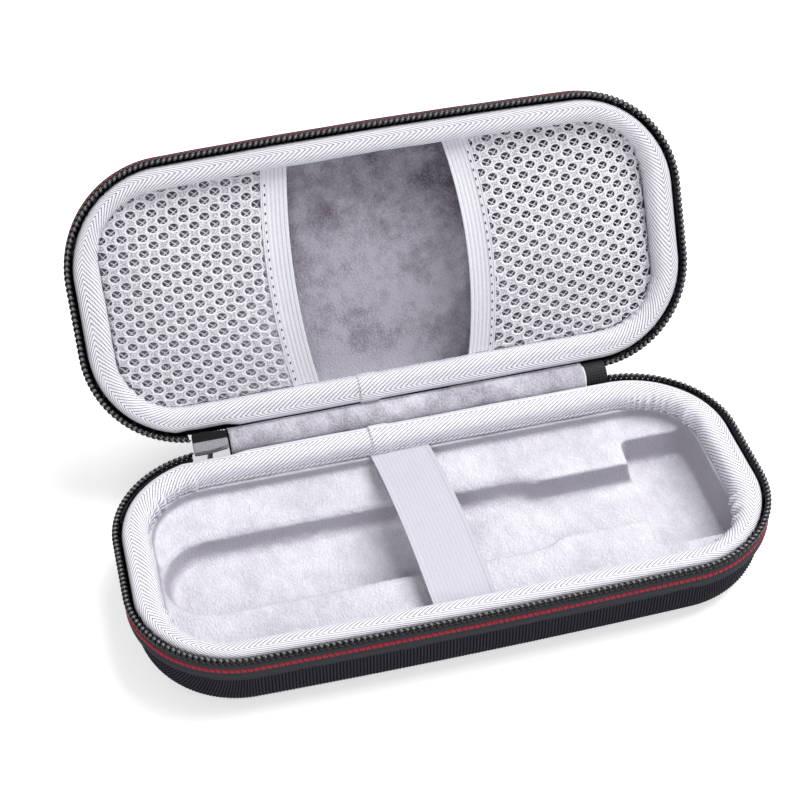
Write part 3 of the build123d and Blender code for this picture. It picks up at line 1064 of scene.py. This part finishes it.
# The hinge strip's plush is darker than the tray's, as painted shade from the lid's rim.
strip_finish = plush_pile("hinge_plush", paint(140, 134, 148), paint(222, 218, 230), 0.5)
hinge_low, hinge_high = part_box("base_hinge_cloth")
tab_low, tab_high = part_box("base_zip_end_tab")
for name, left, right, flap, inner, waist, thickness, material, slot, nodes in (
        ("hinge_plush_strip", hinge_low.x - 0.0007, hinge_high.x - 0.0003, inside_flap, True,
         0.0026, 0.0005, strip_finish, "plush", ("base_hinge_lining", "lid_hinge_lining")),
        ("hinge_webbing_strip", hinge_low.x - 0.0012, hinge_high.x, outside_flap, False,
         0.0026, 0.0007, webbing_finish, "hinge_cloth", ("base_hinge_cloth", "lid_hinge_cloth")),
        ("zip_end_tab", tab_low.x, tab_high.x, inside_flap, True,
         0.0030, 0.0009, webbing_finish, "hinge_cloth", ("base_zip_end_tab", "lid_zip_end_tab"))):
    cloth, width, (start, end) = folded_cloth(name, left, right, flap, inner, waist, thickness)
    dress(cloth, material, None, slot, *nodes)
    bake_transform(cloth)


# ---- Slider ----------------------------------------------------------------------------
# Die-cast slider and its stamped puller, both in black satin enamel, with a painted grey reflection
# on the half towards the base. It is parked at the hinge end of the zip.
def enamel():
    """Black enamel, with a painted grey reflection on the half towards the base."""
    material, tree, shader = finish("slider_enamel", paint(70, 71, 76), 0.45, gloss=0.15)
    place = node(tree, "TexCoord").outputs["Object"]
    from_hinge = node(tree, "VectorMath", place, tuple(hinge_line), operation="SUBTRACT")
    lidwards = (0, -math.sin(lid_angle / 2), math.cos(lid_angle / 2))
    climb = node(tree, "VectorMath", from_hinge, lidwards, operation="DOT_PRODUCT").outputs["Value"]
    speckle = grain(tree, 0.0006, 4)
    # painted reflection: grey on the half towards the base, broken into patches by the speckle
    wear_and_reflection = node(tree, "MapRange", climb, -0.0002, 0.0001, 1, 0)
    reflection_patches = calc(tree, "ADD", 0.55, calc(tree, "MULTIPLY", speckle, 0.7))
    wear_and_reflection = calc(tree, "MULTIPLY", wear_and_reflection, reflection_patches)
    tint(tree, shader, wear_and_reflection, paint(8, 8, 11), paint(150, 150, 156))
    relief(tree, shader, speckle, 0.00003)
    return material


enamel_finish = enamel()
for name in ("zip_slider", "zip_puller"):
    coat(frame["nodes"][name], enamel_finish)


# ---- Floor, light and camera -----------------------------------------------------------
# The case stands on pale paper. A large soft lamp hangs over it to the right, and a smaller,
# weaker one stands in front. A painted glow, seen by the camera only, brightens the paper to white
# away from the case and lightens the case's shadow.
bpy.ops.object.select_all(action="DESELECT")
bpy.ops.mesh.primitive_plane_add(size=6, location=(0, 0, 0))
floor = bpy.context.object
floor.name = "floor"
floor_finish, floor_tree, floor_shader = finish("floor_paper", paint(250, 250, 252), 0.9)
coat(floor, floor_finish)
seen = node(floor_tree, "LightPath")
place = node(floor_tree, "TexCoord").outputs["Object"]
far = node(floor_tree, "VectorMath", place, operation="LENGTH")
# painted light: a glow for the camera only, half white near the case and full white from 1.4 m
glow = node(floor_tree, "MapRange", far.outputs["Value"], 0.4, 1.4, 0.5, 1)
glow = calc(floor_tree, "MULTIPLY", glow, seen.outputs["Is Camera Ray"])
floor_shader.inputs["Emission Color"].default_value = (1, 1, 1, 1)
floor_tree.links.new(glow.outputs[0], floor_shader.inputs["Emission Strength"])

world = bpy.data.worlds.new("studio")
bpy.context.scene.world = world
world.use_nodes = True
sky = world.node_tree.nodes["Background"]
sky.inputs["Color"].default_value = (1, 1, 1, 1)
ray = node(world.node_tree, "LightPath")
strength = node(world.node_tree, "MapRange", ray.outputs["Is Camera Ray"], 0, 1, 0.3, 1)
world.node_tree.links.new(strength.outputs[0], sky.inputs["Strength"])


def soft_lamp(name, place, aim, size, power):
    """A square lamp turned to a point."""
    bpy.ops.object.light_add(type="AREA", location=place)
    lamp = bpy.context.object
    lamp.name = name
    lamp.data.size = size
    lamp.data.energy = power
    lamp.rotation_euler = (Vector(aim) - Vector(place)).to_track_quat("-Z", "Y").to_euler()


soft_lamp("top_lamp", (0.5, 0.1, 1.0), (0, 0.02, 0.03), 0.85, 14.5)
soft_lamp("front_lamp", (-0.3, -1.1, 0.7), (0, 0, 0.03), 0.5, 5)

target = Vector((0, 0, 0.04))
camera_distance = 0.66705
shift_left, shift_up = 0.01496, 0.03026
azimuth, elevation, roll_angle = (math.radians(a) for a in (-12.218, 41.351, -2.346))
away = Vector((math.sin(azimuth) * math.cos(elevation), -math.cos(azimuth) * math.cos(elevation),
               math.sin(elevation)))
level = Vector((math.cos(azimuth), math.sin(azimuth), 0))
upright = away.cross(level)
right = level * math.cos(roll_angle) + upright * math.sin(roll_angle)
upwards = upright * math.cos(roll_angle) - level * math.sin(roll_angle)
bpy.ops.object.camera_add()
camera = bpy.context.object
stand = target + camera_distance * away - shift_left * right + shift_up * upwards
facing = Matrix((right, upwards, away)).transposed().to_4x4()
camera.matrix_world = Matrix.Translation(stand) @ facing
camera.data.sensor_width = 36
camera.data.lens = 83.9
camera.data.clip_start = 0.01
bpy.context.scene.camera = camera
bpy.context.scene.view_settings.view_transform = "Standard"
